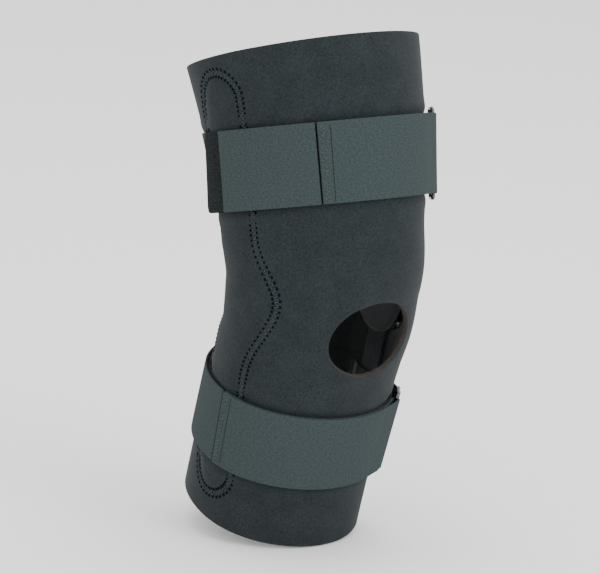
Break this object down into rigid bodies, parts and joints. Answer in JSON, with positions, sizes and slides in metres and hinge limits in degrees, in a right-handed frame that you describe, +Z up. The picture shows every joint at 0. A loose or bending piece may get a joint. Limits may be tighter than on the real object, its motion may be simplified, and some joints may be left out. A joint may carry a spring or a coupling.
{
  "type": "knee brace",
  "caption": "Pull-on knee brace: foam rubber sleeve with a kneecap opening, geared side hinges in pockets, and hook-and-loop straps turned back through wire rings.",
  "frame": {"origin": "centre of the knee on the leg's centre line, midway between the two side hinges and midway between their two pivots", "axes": "+Z up the leg towards the thigh, -Y out through the kneecap opening, +X towards the side that carries the wire rings"},
  "size_m": [0.1494, 0.1688, 0.3373],
  "materials": {
    "neoprene": "knitted nylon face on foam rubber, matt",
    "pile_band": "brushed loop pile, matt",
    "woven_elastic": "fine woven elastic webbing, soft sheen",
    "hook_tape": "moulded hook tape, matt",
    "ring_steel": "black nickel wire, glossy",
    "stay_aluminium": "satin rolled strip",
    "hinge_steel": "stamped, satin",
    "rivet_steel": "turned, satin",
    "vinyl_cap": "dipped vinyl, semi-gloss",
    "pocket_lining": "brushed lining cloth, matt",
    "pad_cloth": "foam covered with brushed cloth, matt"
  },
  "bodies": {
    "thigh": {"sleeve_thigh": "neoprene", "thigh_strap_band": "pile_band", "thigh_ring_loop": "pile_band", "left_thigh_arm": "stay_aluminium", "left_thigh_arm_cap": "vinyl_cap", "left_thigh_pocket": "pocket_lining", "right_thigh_arm": "stay_aluminium", "right_thigh_arm_cap": "vinyl_cap", "right_thigh_pocket": "pocket_lining"},
    "hinge_heads": {"kneecap_panel": "neoprene", "sleeve_knee": "neoprene", "left_hinge_outer_plate": "hinge_steel", "left_hinge_inner_plate": "hinge_steel", "left_hinge_pad": "pad_cloth", "left_thigh_rivet": "rivet_steel", "left_calf_rivet": "rivet_steel", "left_thigh_stop_pin": "rivet_steel", "left_calf_stop_pin": "rivet_steel", "right_hinge_outer_plate": "hinge_steel", "right_hinge_inner_plate": "hinge_steel", "right_hinge_pad": "pad_cloth", "right_thigh_rivet": "rivet_steel", "right_calf_rivet": "rivet_steel", "right_thigh_stop_pin": "rivet_steel", "right_calf_stop_pin": "rivet_steel"},
    "calf": {"sleeve_calf": "neoprene", "calf_strap_band": "pile_band", "calf_ring_loop": "pile_band", "left_calf_arm": "stay_aluminium", "left_calf_arm_cap": "vinyl_cap", "left_calf_pocket": "pocket_lining", "right_calf_arm": "stay_aluminium", "right_calf_arm_cap": "vinyl_cap", "right_calf_pocket": "pocket_lining"},
    "thigh_ring_body": {"thigh_ring": "ring_steel"},
    "thigh_strap": {"thigh_strap_elastic": "woven_elastic"},
    "thigh_tab": {"thigh_closure_tab": "woven_elastic", "thigh_tab_hooks": "hook_tape"},
    "calf_ring_body": {"calf_ring": "ring_steel"},
    "calf_strap": {"calf_strap_elastic": "woven_elastic"},
    "calf_tab": {"calf_closure_tab": "woven_elastic", "calf_tab_hooks": "hook_tape"}
  },
  "joints": [
    {"name": "knee_upper_pivot", "type": "hinge", "parent": "thigh", "child": "hinge_heads", "pos_m": [0, 0, 0.009], "axis": [1, 0, 0], "range_deg": [-13.5, 31], "deforming": ["sleeve_knee"]},
    {"name": "knee_lower_pivot", "type": "hinge", "parent": "hinge_heads", "child": "calf", "pos_m": [0, 0, -0.009], "axis": [1, 0, 0], "range_deg": [-13.5, 31]},
    {"name": "thigh_ring_swing", "type": "hinge", "parent": "thigh", "child": "thigh_ring_body", "pos_m": [0.06086, -0.02562, 0.09037], "axis": [0.0582, 0.1835, 0.9813], "range_deg": [0, 16.5]},
    {"name": "thigh_strap_open", "type": "hinge", "parent": "thigh_ring_body", "child": "thigh_strap", "pos_m": [0.05406, -0.03585, 0.09268], "axis": [0.0582, 0.1835, 0.9813], "range_deg": [0, 80]},
    {"name": "thigh_tab_peel", "type": "hinge", "parent": "thigh_strap", "child": "thigh_tab", "pos_m": [-0.04515, -0.0439, 0.09503], "axis": [-0.0485, 0.1671, 0.9847], "range_deg": [0, 105]},
    {"name": "calf_ring_swing", "type": "hinge", "parent": "calf", "child": "calf_ring_body", "pos_m": [0.05502, -0.00889, -0.09249], "axis": [0.0319, -0.2526, 0.967], "range_deg": [0, 16.5]},
    {"name": "calf_strap_open", "type": "hinge", "parent": "calf_ring_body", "child": "calf_strap", "pos_m": [0.04651, -0.01781, -0.09454], "axis": [0.0319, -0.2526, 0.967], "range_deg": [0, 80]},
    {"name": "calf_tab_peel", "type": "hinge", "parent": "calf_strap", "child": "calf_tab", "pos_m": [-0.06395, 0.0198, -0.08539], "axis": [-0.05, -0.2321, 0.9714], "range_deg": [0, 105]}
  ],
  "couplings": [
    {"joint": "knee_lower_pivot", "follows": "knee_upper_pivot", "ratio": 1},
    {"joint": "thigh_ring_swing", "follows": "thigh_strap_open", "ratio": 0.2},
    {"joint": "thigh_tab_peel", "follows": "thigh_strap_open", "ratio": 1.3},
    {"joint": "calf_ring_swing", "follows": "calf_strap_open", "ratio": 0.2},
    {"joint": "calf_tab_peel", "follows": "calf_strap_open", "ratio": 1.3}
  ]
}
